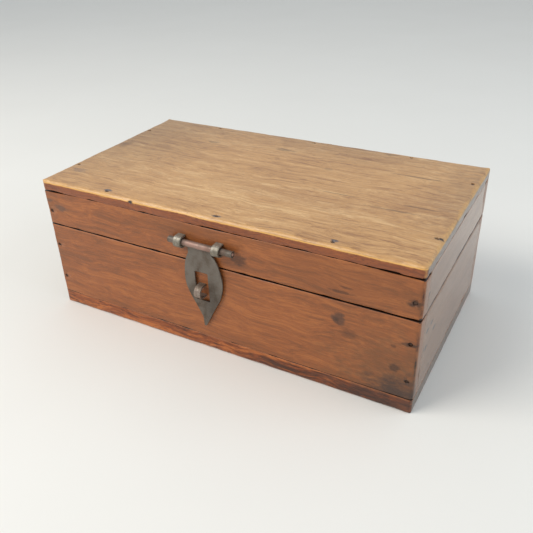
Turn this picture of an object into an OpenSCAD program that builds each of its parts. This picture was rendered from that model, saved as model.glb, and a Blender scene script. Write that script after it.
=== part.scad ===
// Desk letter box in nailed boards, shut by a sheet iron hasp over a strap staple.
// Millimetres. X runs along the front, Y towards the back, Z up.
// The origin lies under the middle of the base.

/* [Box] */
// Width along the front
box_w = 330; // [260:1:460]
// Depth from front to back
box_d = 180; // [140:1:260]
// Height with the lid shut
box_h = 122; // [118:1:170]
// Height of the lid seam at the middle of the box
seam_z = 81; // [72:0.5:84]
// Gap between lid and box along the seam
seam_gap = 1; // [0.8:0.1:1.4]
// Fall of the hand sawn seam from the left end to the right end
seam_fall = 1.2; // [0:0.1:2.5]
// How much wider the seam stands open at the right end than at the left
seam_open = 0.6; // [0:0.1:0.8]
// Thickness of the wall boards
wall_t = 11; // [10:0.5:16]
// Thickness of the base board
base_t = 12.5; // [9:0.5:16]
// Thickness of the top board
top_t = 9; // [7:0.5:11]

/* [Worn edges] */
// Radius worn on the four upright corners
corner_r = 3; // [1:0.5:5]
// Radius worn on the four corners of the top board, seen from above
top_corner_r = 6; // [2:0.5:9]
// Radius worn round the upper edge of the top board
top_r = 3; // [1:0.5:4]
// Radius round the lower edge of the top board
top_under_r = 0.6; // [0.4:0.1:1.5]
// Radius round the foot of the base board
foot_r = 2; // [0.5:0.5:3]
// Radius on both lips of the lid seam
seam_r = 0.9; // [0.4:0.1:1.5]
// Radius where the wall boards meet the base and the top
joint_r = 0.5; // [0.2:0.1:0.8]

/* [Shrinkage gaps] */
// Lift of the front wall off the base at its right end
base_lift = 1; // [0:0.1:1.2]
// Height of the openings under both ends of the top board
top_lift = 1.2; // [0:0.1:1.5]
// Length of the opening under the left end of the top board
lift_left = 42; // [10:1:60]
// Length of the opening under the right end of the top board
lift_right = 55; // [10:1:90]

/* [Nails] */
// Diameter of a nail's head
nail_head_d = 3.2; // [2.6:0.1:5]
// Thickness of a nail's head
nail_head_t = 0.9; // [0.6:0.1:1.2]
// Diameter of a nail's shank
nail_d = 1.8; // [1.4:0.1:2.4]
// Length of a nail
nail_len = 27; // [22:1:32]
// Depth of a nail's head below the wood
nail_sink = 0.3; // [0.1:0.1:0.6]
// Room round a nail in its hole
nail_fit = 0.05; // [0.02:0.01:0.1]
// Height of the upper corner nails in the box below the seam
body_nail_down = 20; // [14:1:24]
// Height of the lower corner nails in the box above the base board
body_nail_up = 16; // [12:1:24]
// Height of the corner nails in the lid above the seam
lid_nail_up = 13; // [8:1:16]
// Places along X of the nails in the front and back of the top board
top_nail_x = [-97, 7, 99];
// Distance of the end nails in the top board from its middle line
top_nail_y = 50; // [30:1:52]
// Distance between the nails along the front and back of the base board
base_nail_pitch = 105; // [60:1:110]
// Distance of the end nails in the base board from its middle line
base_nail_y = 42; // [25:1:48]

/* [Strap eyes] */
// Thickness of the iron strap
strap_t = 1.5; // [1:0.1:2]
// Width of the iron strap
strap_w = 6.4; // [5:0.2:8]
// How far an eye stands out of the wood
eye_out = 8.5; // [8:0.1:10]
// Length of each leg bent over inside
clinch_len = 5; // [4:0.5:6]
// Room round a strap in its slot through the wood
strap_fit = 0.1; // [0.05:0.05:0.3]
// Distance between the two eyes that carry the hasp
eye_pitch = 34; // [33:0.5:44]
// How far the staple stands out of the wood
staple_out = 9.4; // [8:0.1:11]
// Inner radius of the staple's loop
staple_in_r = 4; // [3:0.1:4.4]
// Width of the staple's strap
staple_w = 6; // [4:0.2:7]

/* [Hasp] */
// Middle of the hasp along X
hasp_x = -5.4; // [-30:0.1:30]
// Distance of the bar's middle to the side of the eyes' middle
bar_shift = 1.8; // [-4:0.1:4]
// Distance of the leaf's widest part to the side of the eyes' middle
leaf_shift = 1; // [-2:0.1:2]
// Height of the hasp's bar above the middle of the lid's front
bar_rise = 1.4; // [-2:0.1:2]
// Diameter of the rolled bar
bar_d = 5.2; // [4.4:0.1:5.6]
// Length of the rolled bar
bar_len = 57; // [48:0.5:64]
// Room between the bar and its eyes
bar_play = 0.6; // [0.3:0.1:0.9]
// Thickness of the sheet
sheet_t = 1.1; // [0.8:0.1:1.4]
// Opening left where the roll does not close
roll_seam = 0.7; // [0.4:0.1:1]
// How far the rod sticks out of each end of the roll
rod_out = 0.5; // [0.2:0.1:3]
// Room round the rod in the roll
rod_fit = 0.05; // [0.02:0.01:0.1]
// Distance of the leaf's back behind the bar's middle
leaf_back = 1.6; // [1.2:0.1:2.4]
// Length of the leaf from the bar's middle to its point
leaf_len = 74.5; // [70:0.5:78]
// Greatest width of the leaf
leaf_w = 34.4; // [30:0.2:42]
// Distance of the widest place below the bar's middle
leaf_wide_down = 29.5; // [26:0.5:33]
// Radius of the leaf's long side curves
leaf_side_r = 42; // [36:1:60]
// Width of the leaf's neck at the bar
neck_w = 26; // [22:0.5:26.2]
// Radius of the hollows beside the neck
neck_r = 3.5; // [2:0.5:5]
// Depth of the hollows beside the neck
neck_cut = 2.6; // [1:0.2:4]
// Width of the blunt point
point_w = 1.8; // [1:0.1:4]
// Sideways bend of the point
point_x = -1.4; // [-4:0.1:4]
// Distance below the bar's middle where the side curves end
curve_end = 52; // [46:0.5:56]
// Length of the slim nib above the point
nib_len = 8; // [4:0.5:12]
// Distance of the nib's start to the side of the eyes' middle
nib_x = 0.6; // [-3:0.1:3]
// Width of the leaf where the nib starts
nib_w = 6.6; // [4:0.2:9]
// Lean of the leaf towards the box
leaf_lean = 1; // [0:0.1:1.1]
// Width of the slot in the leaf
slot_w = 12; // [9:0.5:16]
// Length of the slot in the leaf
slot_len = 26; // [20:0.5:28]
// Distance of the slot's top below the bar's middle
slot_down = 24; // [20:0.5:27]
// Shift of the slot to the side of the leaf's middle
slot_x = -0.6; // [-4:0.1:4]
// Distance of the staple's middle below the slot's top
staple_down = 16.6; // [14:0.1:18]
// Distance of the staple's middle to the side of the slot's middle
staple_x = -0.9; // [-1.5:0.1:1.5]

/* [Hinges] */
// Distance of each hinge's middle from the end of the box
hinge_inset = 60; // [40:1:90]
// Length of a hinge
hinge_len = 36; // [28:1:48]
// Reach of a hinge leaf into the wall's edge
hinge_leaf = 8.6; // [7.5:0.1:9]
// Thickness of a hinge leaf
hinge_t = 1.3; // [1:0.1:1.6]
// Diameter of a hinge's knuckles
knuckle_d = 5.4; // [4.8:0.1:6.4]
// Number of knuckles on a hinge
knuckles = 5; // [3:2:7]
// Gap between neighbouring knuckles
knuckle_gap = 0.3; // [0.2:0.05:0.5]
// Gap between the knuckles and the wood
hinge_gap = 0.35; // [0.3:0.05:0.8]
// Diameter of a hinge pin
pin_d = 2.2; // [1.8:0.1:2.4]
// Room round a hinge pin
pin_fit = 0.05; // [0.02:0.01:0.1]
// Distance between the two screws of a leaf
screw_pitch = 22; // [16:1:24]
// Diameter of a screw's shank
screw_d = 2.6; // [2:0.1:3]
// Diameter of a screw's head
screw_head_d = 5; // [4:0.1:5.4]
// Length of a screw
screw_len = 12; // [9:0.5:14]

/* [Hidden] */
$fn = 48;

half_w = box_w / 2;
half_d = box_d / 2;
rim_z = box_h - top_t;
side_y = half_d - wall_t;
side_x = half_w - wall_t;
seam_tilt = atan(seam_fall / box_w);
lid_tilt = atan((seam_fall - seam_open) / box_w);
// Middle line of every wall board, where its nails are driven
nail_x = half_w - wall_t / 2;
nail_y = half_d - wall_t / 2;
// Strap eye, measured from the face of the wood
eye_in_r = bar_d / 2 + bar_play;
bar_off = eye_out - eye_in_r - strap_t;
bar_y = -half_d - bar_off;
bar_z = (seam_z + rim_z) / 2 + bar_rise;
rod_d = bar_d - 2 * sheet_t - 2 * rod_fit;
staple_mid_x = hasp_x + slot_x + staple_x;
staple_z = bar_z - slot_down - staple_down;
// Hinge pin line
pin_y = half_d + hinge_gap + knuckle_d / 2;
pin_z = seam_z;
hinge_x = half_w - hinge_inset;
knuckle_w = hinge_len / knuckles;
leaf_fit = 0.05;
screw_y = half_d - hinge_leaf / 2;
over = 1;
old_pine = [0.60, 0.36, 0.16];
front_pine = [0.52, 0.27, 0.13];
pale_pine = [0.62, 0.40, 0.20];
iron = [0.34, 0.32, 0.30];
bright_iron = [0.50, 0.44, 0.40];
rust = [0.20, 0.13, 0.09];

// Everything beyond a quarter round of radius r on an edge along X through the origin.
// The wood lies on the side of minus Y and minus Z.
module worn_edge(len, r) {
  rotate([90, 0, 90])
    translate([0, 0, -len / 2])
      linear_extrude(len)
        difference() {
          translate([-r, -r]) square(r + over);
          translate([-r, -r]) circle(r);
        }
}

// Worn edges along X on the front and the back, and along Y on both ends
module worn_rim(z, r, up) {
  for (turn = [0, 180]) rotate([0, 0, turn]) {
    translate([0, half_d, z])
      mirror([0, 0, up ? 0 : 1]) worn_edge(box_w + 2 * over, r);
    translate([half_w, 0, z])
      rotate([0, 0, -90])
        mirror([0, 0, up ? 0 : 1]) worn_edge(box_d + 2 * over, r);
  }
}

// The four upright corners
module worn_corners(z0, z1, r) {
  for (sx = [0, 1], sy = [0, 1])
    mirror([sx, 0, 0]) mirror([0, sy, 0])
      translate([half_w, half_d, (z0 + z1) / 2])
        rotate([0, 90, 0]) worn_edge(z1 - z0 + 2 * over, r);
}

// All that lies above the box's side of the seam, with the worn lip
module above_seam() {
  translate([0, 0, seam_z]) rotate([0, seam_tilt, 0]) {
    translate([-box_w, -box_d, -seam_gap / 2]) cube([2 * box_w, 2 * box_d, box_h]);
    worn_rim(-seam_gap / 2, seam_r, true);
  }
}

// All that lies below the lid's side of the seam
module below_seam() {
  translate([0, 0, seam_z]) rotate([0, lid_tilt, 0]) {
    translate([-box_w, -box_d, seam_gap / 2 - box_h]) cube([2 * box_w, 2 * box_d, box_h]);
    worn_rim(seam_gap / 2, seam_r, false);
  }
}

// A nail driven along minus Z, its head below the wood's face at the origin
module nail(room = 0) {
  shank_r = nail_d / 2 + room;
  point = 1.6 * nail_d;
  translate([0, 0, -nail_sink - nail_head_t - room])
    cylinder(d = nail_head_d + 2 * room, h = nail_head_t + room + (room > 0 ? nail_sink + over : 0));
  translate([0, 0, -nail_len + point - room])
    cylinder(r = shank_r, h = nail_len - point - nail_sink - nail_head_t / 2 + room);
  translate([0, 0, -nail_len - room])
    cylinder(r1 = 0.25 * nail_d, r2 = shank_r, h = point);
}

// Corner nails, through the front and back walls into the ends of the side walls
module corner_nails(heights, room = 0) {
  for (sx = [-1, 1], turn = [0, 180], z = heights)
    rotate([0, 0, turn])
      translate([sx * nail_x, -half_d, z]) rotate([90, 0, 0]) nail(room);
}

body_nail_z = [base_t + body_nail_up, seam_z - body_nail_down];
lid_nail_z = [seam_z + lid_nail_up];

module top_nails(room = 0) {
  for (sy = [-1, 1], x = top_nail_x)
    translate([x, sy * nail_y, box_h]) nail(room);
  for (sx = [-1, 1], sy = [-1, 1])
    translate([sx * nail_x, sy * top_nail_y, box_h]) nail(room);
}

module bottom_nails(room = 0) {
  mirror([0, 0, 1]) {
    for (sy = [-1, 1], i = [-1:1])
      translate([i * base_nail_pitch, sy * nail_y, 0]) nail(room);
    for (sx = [-1, 1], sy = [-1, 1])
      translate([sx * nail_x, sy * base_nail_y, 0]) nail(room);
  }
}

// Outline of a strap eye seen from its end: the loop, and two legs bent over inside.
// The face of the wood is the line x = 0.
module eye_outline(in_r, out) {
  r = in_r + strap_t;
  off = out - r;
  difference() {
    union() {
      translate([off, 0]) circle(r);
      translate([0, -r]) square([off, 2 * r]);
    }
    translate([off, 0]) circle(in_r);
    translate([-2 * r, -in_r]) square([2 * r + off, 2 * in_r]);
    translate([-2 * r, -2 * r]) square([2 * r, 4 * r]);
  }
  for (s = [0, 1]) mirror([0, s]) {
    translate([-wall_t - strap_t, in_r]) square([wall_t + strap_t + 0.01, strap_t]);
    translate([-wall_t - strap_t, in_r]) square([strap_t, clinch_len]);
  }
}

module strap_eye(x, z, in_r, out, w) {
  translate([x + w / 2, -half_d, z])
    rotate([0, -90, 0]) rotate([0, 0, -90])
      linear_extrude(w) eye_outline(in_r, out);
}

// The two slots through a wall for the legs of an eye
module eye_slots(x, z, in_r, w) {
  for (s = [-1, 1])
    translate([x, -half_d + wall_t / 2, z + s * (in_r + strap_t / 2)])
      cube([w + 2 * strap_fit, wall_t + 2 * over, strap_t + 2 * strap_fit], center = true);
}

// Outline of the hasp's leaf, the bar's middle at the origin and the point down.
// Two long side curves run down to a taper, and the taper to a slim nib with a blunt point.
module leaf_outline() {
  side_x0 = leaf_w / 2 - leaf_side_r;
  neck_half = neck_w / 2 - neck_cut;
  neck_down = bar_d / 2 + 0.7 * neck_r;
  end_x = side_x0 + sqrt(pow(leaf_side_r, 2) - pow(curve_end - leaf_wide_down, 2)) - 0.1;
  difference() {
    union() {
      intersection() {
        translate([leaf_shift + side_x0, -leaf_wide_down]) circle(leaf_side_r, $fn = 96);
        translate([leaf_shift - side_x0, -leaf_wide_down]) circle(leaf_side_r, $fn = 96);
        translate([-leaf_w, -curve_end]) square([2 * leaf_w, curve_end - bar_d / 2]);
      }
      polygon([[leaf_shift - end_x, -curve_end], [nib_x - nib_w / 2, nib_len - leaf_len],
        [point_x - point_w / 2, -leaf_len], [point_x + point_w / 2, -leaf_len],
        [nib_x + nib_w / 2, nib_len - leaf_len], [leaf_shift + end_x, -curve_end]]);
      translate([-neck_w / 2, -neck_down]) square([neck_w, neck_down]);
      translate([-neck_half, -neck_down - neck_r]) square([2 * neck_half, neck_down + neck_r]);
    }
    for (s = [-1, 1]) translate([s * (neck_half + neck_r - 0.1), -neck_down]) circle(neck_r);
    translate([slot_x - slot_w / 2, -slot_down - slot_len]) square([slot_w, slot_len]);
  }
}

// Pin and knuckle geometry shared by both leaves of a hinge.
// The pin line is the X axis and the wood lies towards minus Y.
module hinge_half(lower) {
  reach = hinge_leaf + hinge_gap + knuckle_d / 2;
  plate_end = hinge_gap + knuckle_d / 2;
  face = seam_gap / 2;
  difference() {
    union() {
      translate([-hinge_len / 2, -reach, lower ? -face - hinge_t : face])
        cube([hinge_len, hinge_leaf, hinge_t]);
      for (i = [0:knuckles - 1]) if ((i % 2 == 0) == lower) {
        x0 = -hinge_len / 2 + i * knuckle_w + (i == 0 ? 0 : knuckle_gap / 2);
        x1 = -hinge_len / 2 + (i + 1) * knuckle_w - (i == knuckles - 1 ? 0 : knuckle_gap / 2);
        translate([x0, 0, 0]) rotate([0, 90, 0]) cylinder(d = knuckle_d, h = x1 - x0);
        translate([x0, -plate_end - 0.01, lower ? -face - hinge_t : face])
          cube([x1 - x0, plate_end, hinge_t]);
      }
    }
    translate([-hinge_len, 0, 0]) rotate([0, 90, 0])
      cylinder(d = pin_d + 2 * pin_fit, h = 2 * hinge_len);
    for (s = [-1, 1])
      translate([s * screw_pitch / 2, -plate_end - hinge_leaf / 2, lower ? -face : face])
        mirror([0, 0, lower ? 0 : 1]) wood_screw(leaf_fit);
  }
}

// A countersunk screw driven along minus Z, its head flush with the origin
module wood_screw(room = 0) {
  r = screw_d / 2;
  head_r = screw_head_d / 2;
  head_h = 0.85 * hinge_t;
  difference() {
    union() {
      translate([0, 0, -head_h]) cylinder(r1 = r + room, r2 = head_r + room, h = head_h);
      if (room > 0) cylinder(r = head_r + room, h = over);
      translate([0, 0, -screw_len + 2 - room])
        cylinder(r = r + room, h = screw_len - 2 - head_h / 2 + room);
      translate([0, 0, -screw_len - room]) cylinder(r1 = 0.3 * r, r2 = r + room, h = 2);
    }
    if (room == 0)
      translate([0, 0, 0]) cube([2 * screw_head_d, 0.7, 0.8], center = true);
  }
}

module at_hinge(s) {
  translate([s * hinge_x, pin_y, pin_z]) children();
}

// Bed for a hinge leaf, cut into the edge of the back wall
module hinge_bed(lower) {
  for (s = [-1, 1]) at_hinge(s) {
    face = seam_gap / 2;
    translate([-hinge_len / 2 - leaf_fit, -hinge_gap - knuckle_d / 2 - hinge_leaf - leaf_fit,
        lower ? -face - hinge_t - leaf_fit : 0])
      cube([hinge_len + 2 * leaf_fit, hinge_leaf + over, hinge_t + face + leaf_fit]);
    for (t = [-1, 1])
      translate([t * screw_pitch / 2, screw_y - pin_y, lower ? -face : face])
        mirror([0, 0, lower ? 0 : 1]) wood_screw(nail_fit);
  }
}

module hinge_screws(lower) {
  for (s = [-1, 1], t = [-1, 1])
    translate([s * hinge_x + t * screw_pitch / 2, screw_y,
        pin_z + (lower ? -1 : 1) * seam_gap / 2])
      mirror([0, 0, lower ? 0 : 1]) rotate([0, 0, 35 + 50 * s + 20 * t]) wood_screw();
}

module hinge_pin(s) {
  at_hinge(s) rotate([0, 90, 0]) {
    cylinder(d = pin_d, h = hinge_len + 1, center = true);
    for (e = [0, 1]) mirror([0, 0, e])
      translate([0, 0, hinge_len / 2 + 0.1]) cylinder(r1 = 0.8 * pin_d, r2 = 0.55 * pin_d, h = 0.9);
  }
}

// Wall blanks, before the seam, the worn edges and the holes are cut
module long_wall(s, z0, z1) {
  translate([-half_w, s > 0 ? side_y : -half_d, z0]) cube([box_w, wall_t, z1 - z0]);
}

module end_wall(s, z0, z1) {
  translate([s > 0 ? side_x : -half_w, -side_y, z0]) cube([wall_t, 2 * side_y, z1 - z0]);
}

module base_board() {
  color(pale_pine) difference() {
    translate([-half_w, -half_d, 0]) cube([box_w, box_d, base_t]);
    worn_corners(0, base_t, corner_r);
    worn_rim(0, foot_r, false);
    worn_rim(base_t, joint_r, true);
    bottom_nails(nail_fit);
  }
}

module body_front() {
  color(front_pine) difference() {
    long_wall(-1, base_t, seam_z + seam_fall + over);
    worn_corners(base_t, seam_z + seam_fall + over, corner_r);
    worn_rim(base_t, joint_r, false);
    above_seam();
    // The board has shrunk away from the base towards its right end
    translate([0, -side_y + over, base_t]) rotate([90, 0, 0])
      linear_extrude(wall_t + 2 * over)
        polygon([[0, 0], [half_w + over, base_lift], [half_w + over, -over], [0, -over]]);
    corner_nails(body_nail_z, nail_fit);
    bottom_nails(nail_fit);
    eye_slots(staple_mid_x, staple_z, staple_in_r, staple_w);
  }
}

module body_back() {
  color(front_pine) difference() {
    long_wall(1, base_t, seam_z + seam_fall + over);
    worn_corners(base_t, seam_z + seam_fall + over, corner_r);
    worn_rim(base_t, joint_r, false);
    above_seam();
    corner_nails(body_nail_z, nail_fit);
    bottom_nails(nail_fit);
    hinge_bed(true);
  }
}

module body_end(s) {
  color(old_pine) difference() {
    end_wall(s, base_t, seam_z + seam_fall + over);
    worn_rim(base_t, joint_r, false);
    above_seam();
    corner_nails(body_nail_z, nail_fit);
    bottom_nails(nail_fit);
  }
}

module body_left() { body_end(-1); }

module body_right() { body_end(1); }

module lid_top() {
  color(old_pine) difference() {
    translate([-half_w, -half_d, rim_z]) cube([box_w, box_d, top_t]);
    worn_corners(rim_z, box_h, top_corner_r);
    worn_rim(box_h, top_r, true);
    worn_rim(rim_z, top_under_r, false);
    top_nails(nail_fit);
  }
}

module lid_front() {
  color(front_pine) difference() {
    long_wall(-1, seam_z - seam_fall - over, rim_z);
    worn_corners(seam_z - seam_fall - over, rim_z, corner_r);
    worn_rim(rim_z, joint_r, true);
    below_seam();
    // The top board has curled up at both ends
    translate([0, -side_y + over, rim_z]) rotate([90, 0, 0])
      linear_extrude(wall_t + 2 * over) {
        polygon([[half_w - lift_right, 0], [half_w + over, -top_lift],
          [half_w + over, over], [half_w - lift_right, over]]);
        polygon([[-half_w + lift_left, 0], [-half_w - over, -top_lift],
          [-half_w - over, over], [-half_w + lift_left, over]]);
      }
    corner_nails(lid_nail_z, nail_fit);
    top_nails(nail_fit);
    for (s = [-1, 1]) eye_slots(hasp_x + s * eye_pitch / 2, bar_z, eye_in_r, strap_w);
  }
}

module lid_back() {
  color(front_pine) difference() {
    long_wall(1, seam_z - seam_fall - over, rim_z);
    worn_corners(seam_z - seam_fall - over, rim_z, corner_r);
    worn_rim(rim_z, joint_r, true);
    below_seam();
    corner_nails(lid_nail_z, nail_fit);
    top_nails(nail_fit);
    hinge_bed(false);
  }
}

module lid_end(s) {
  color(old_pine) difference() {
    end_wall(s, seam_z - seam_fall - over, rim_z);
    worn_rim(rim_z, joint_r, true);
    below_seam();
    corner_nails(lid_nail_z, nail_fit);
    top_nails(nail_fit);
  }
}

module lid_left() { lid_end(-1); }

module lid_right() { lid_end(1); }

// One sheet: the leaf, and its wide top edge rolled forward into the bar
module hasp_leaf() {
  color(iron) translate([hasp_x, bar_y, bar_z]) rotate([leaf_lean, 0, 0])
    difference() {
      union() {
        translate([0, leaf_back, 0]) rotate([90, 0, 0]) linear_extrude(sheet_t) leaf_outline();
        translate([bar_shift, 0, 0]) rotate([0, 90, 0])
          cylinder(d = bar_d, h = bar_len, center = true);
      }
      translate([bar_shift, 0, 0]) {
        rotate([0, 90, 0]) cylinder(d = rod_d + 2 * rod_fit, h = bar_len + 2 * over, center = true);
        // The roll stops short of the leaf and leaves a dark line under the bar
        rotate([-35, 0, 0]) translate([-bar_len / 2 - over, -roll_seam / 2, -bar_d])
          cube([bar_len + 2 * over, roll_seam, bar_d]);
      }
    }
}

module hasp_rod() {
  rod_len = bar_len + 2 * rod_out;
  color(bright_iron) translate([hasp_x + bar_shift, bar_y, bar_z]) rotate([0, 90, 0]) {
    cylinder(d = rod_d, h = rod_len - 2, center = true);
    for (e = [0, 1]) mirror([0, 0, e])
      translate([0, 0, rod_len / 2 - 1]) cylinder(d1 = rod_d, d2 = 0.55 * rod_d, h = 1);
  }
}

module hasp_eye_left() {
  color(iron) strap_eye(hasp_x - eye_pitch / 2, bar_z, eye_in_r, eye_out, strap_w);
}

module hasp_eye_right() {
  color(iron) strap_eye(hasp_x + eye_pitch / 2, bar_z, eye_in_r, eye_out, strap_w);
}

module staple_eye() {
  color(iron) strap_eye(staple_mid_x, staple_z, staple_in_r, staple_out, staple_w);
}

module hinge_left_lower() { color(iron) at_hinge(-1) hinge_half(true); }

module hinge_left_upper() { color(iron) at_hinge(-1) hinge_half(false); }

module hinge_left_pin() { color(bright_iron) hinge_pin(-1); }

module hinge_right_lower() { color(iron) at_hinge(1) hinge_half(true); }

module hinge_right_upper() { color(iron) at_hinge(1) hinge_half(false); }

module hinge_right_pin() { color(bright_iron) hinge_pin(1); }

module hinge_lower_screws() { color(bright_iron) hinge_screws(true); }

module hinge_upper_screws() { color(bright_iron) hinge_screws(false); }

module body_corner_nails() { color(rust) corner_nails(body_nail_z); }

module lid_corner_nails() { color(rust) corner_nails(lid_nail_z); }

module lid_top_nails() { color(rust) top_nails(); }

module base_nails() { color(rust) bottom_nails(); }

base_board();
body_front();
body_back();
body_left();
body_right();
lid_top();
lid_front();
lid_back();
lid_left();
lid_right();
hasp_leaf();
hasp_rod();
hasp_eye_left();
hasp_eye_right();
staple_eye();
hinge_left_lower();
hinge_left_upper();
hinge_left_pin();
hinge_right_lower();
hinge_right_upper();
hinge_right_pin();
hinge_lower_screws();
hinge_upper_screws();
body_corner_nails();
lid_corner_nails();
lid_top_nails();
base_nails();
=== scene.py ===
import bpy
import bmesh
import math
from mathutils import Matrix, Vector, noise


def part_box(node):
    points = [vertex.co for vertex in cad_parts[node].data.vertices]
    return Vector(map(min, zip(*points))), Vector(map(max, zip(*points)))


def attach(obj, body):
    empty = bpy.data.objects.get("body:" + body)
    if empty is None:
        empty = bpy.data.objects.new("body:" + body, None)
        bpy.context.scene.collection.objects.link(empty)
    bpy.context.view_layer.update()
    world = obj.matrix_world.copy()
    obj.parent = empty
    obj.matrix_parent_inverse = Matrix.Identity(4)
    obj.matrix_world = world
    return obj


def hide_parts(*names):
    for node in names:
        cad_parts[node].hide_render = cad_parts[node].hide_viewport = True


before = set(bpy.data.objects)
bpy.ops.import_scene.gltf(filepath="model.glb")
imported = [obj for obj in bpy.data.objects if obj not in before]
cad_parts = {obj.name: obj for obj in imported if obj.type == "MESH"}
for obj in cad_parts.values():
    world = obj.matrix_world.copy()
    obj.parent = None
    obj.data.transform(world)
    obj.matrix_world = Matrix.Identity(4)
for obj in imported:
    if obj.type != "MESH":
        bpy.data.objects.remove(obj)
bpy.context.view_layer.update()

print("frame loaded")

# The box stands with the middle of its base at the origin, its front towards minus Y.
boxSize = {"halfWidth": 0.165, "halfDepth": 0.090, "height": 0.122}


def linear(red, green, blue):  # a colour picked as 0 to 255 on screen
    def channel(v):
        v /= 255
        return v / 12.92 if v <= 0.04045 else ((v + 0.055) / 1.055) ** 2.4
    return (channel(red), channel(green), channel(blue), 1)


def place(tree, kind, x=0, **settings):
    node = tree.nodes.new(kind)
    node.location = (x, 0)
    for key, value in settings.items():
        setattr(node, key, value)
    return node


def feed(tree, socket, value):
    if isinstance(value, bpy.types.NodeSocket):
        tree.links.new(value, socket)
    elif value is not None:
        socket.default_value = value


def math2(tree, operation, a, b=None, clamp=False):
    node = place(tree, "ShaderNodeMath", operation=operation, use_clamp=clamp)
    feed(tree, node.inputs[0], a)
    feed(tree, node.inputs[1], b)
    return node.outputs[0]


def vector2(tree, operation, a, b=None):
    node = place(tree, "ShaderNodeVectorMath", operation=operation)
    feed(tree, node.inputs[0], a)
    feed(tree, node.inputs[1], b)
    return node.outputs["Value"] if operation == "LENGTH" else node.outputs[0]


def fade(tree, value, low, high):  # smooth step from 0 at low to 1 at high
    node = place(tree, "ShaderNodeMapRange", interpolation_type="SMOOTHSTEP")
    feed(tree, node.inputs["Value"], value)
    feed(tree, node.inputs["From Min"], low)
    feed(tree, node.inputs["From Max"], high)
    return node.outputs[0]


def cloud(tree, vector, scale=1.0, detail=2.0, roughness=0.5, distortion=0.0):
    node = place(tree, "ShaderNodeTexNoise")
    feed(tree, node.inputs["Vector"], vector)
    feed(tree, node.inputs["Scale"], scale)
    feed(tree, node.inputs["Detail"], detail)
    feed(tree, node.inputs["Roughness"], roughness)
    feed(tree, node.inputs["Distortion"], distortion)
    return node.outputs["Fac"]


def blendColour(tree, factor, a, b, how="MIX"):
    node = place(tree, "ShaderNodeMix", data_type="RGBA", blend_type=how)
    feed(tree, node.inputs[0], factor)
    feed(tree, node.inputs[6], a)
    feed(tree, node.inputs[7], b)
    return node.outputs[2]


def newGroup(name, inputs, outputs):
    tree = bpy.data.node_groups.new(name, "ShaderNodeTree")
    for label, kind in inputs:
        tree.interface.new_socket(label, in_out="INPUT", socket_type=kind)
    for label, kind in outputs:
        tree.interface.new_socket(label, in_out="OUTPUT", socket_type=kind)
    start, end = place(tree, "NodeGroupInput", -1400), place(tree, "NodeGroupOutput", 900)
    return tree, start.outputs, end.inputs


def useGroup(tree, group, **values):
    node = place(tree, "ShaderNodeGroup", node_tree=group)
    for label, value in values.items():
        feed(tree, node.inputs[label], value)
    return node.outputs


def stretched(tree, vector, stretch, detail, roughness):  # a cloud drawn out along the grain
    return cloud(tree, vector2(tree, "MULTIPLY", vector, stretch), 1, detail, roughness)


grainLook = {
    "bend": {"stretch": (5, 11, 11), "detail": 0.6, "push": (0, 0.012, 0.012)},
    "straight": ("broad", "ring"),  # the bands that the bend leaves alone
    "bands": {"broad": ((5, 14, 14), 3, 0.55), "patch": ((22, 75, 75), 4, 0.6),  # stretch, detail, roughness
              "streak": ((7, 190, 190), 4, 0.6), "comb": ((20, 520, 520), 4, 0.65),
              "fibre": ((60, 1500, 1500), 3, 0.6), "ring": ((300, 160, 520), 3, 0.6),
              "line": ((16, 700, 700), 3, 0.6), "pores": ((260, 2300, 2300), 2, 0.5)},
    "broadShare": 0.17, "shares": {"patch": 0.13, "streak": 0.22, "comb": 0.28, "fibre": 0.20},
    "ringShare": 0.3, "ringLess": 0.16,
    "toMiddle": (0.40, 0.505), "toLight": (0.495, 0.60), "line": (0.56, 0.66), "pores": (0.58, 0.68),
    "lineStrength": 0.5, "poreStrength": 0.45, "smooth": 0.33, "combRough": 0.24,
    "fibreHeight": 0.35, "combHeight": 0.6, "grooveDepth": 0.35,
}


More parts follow.
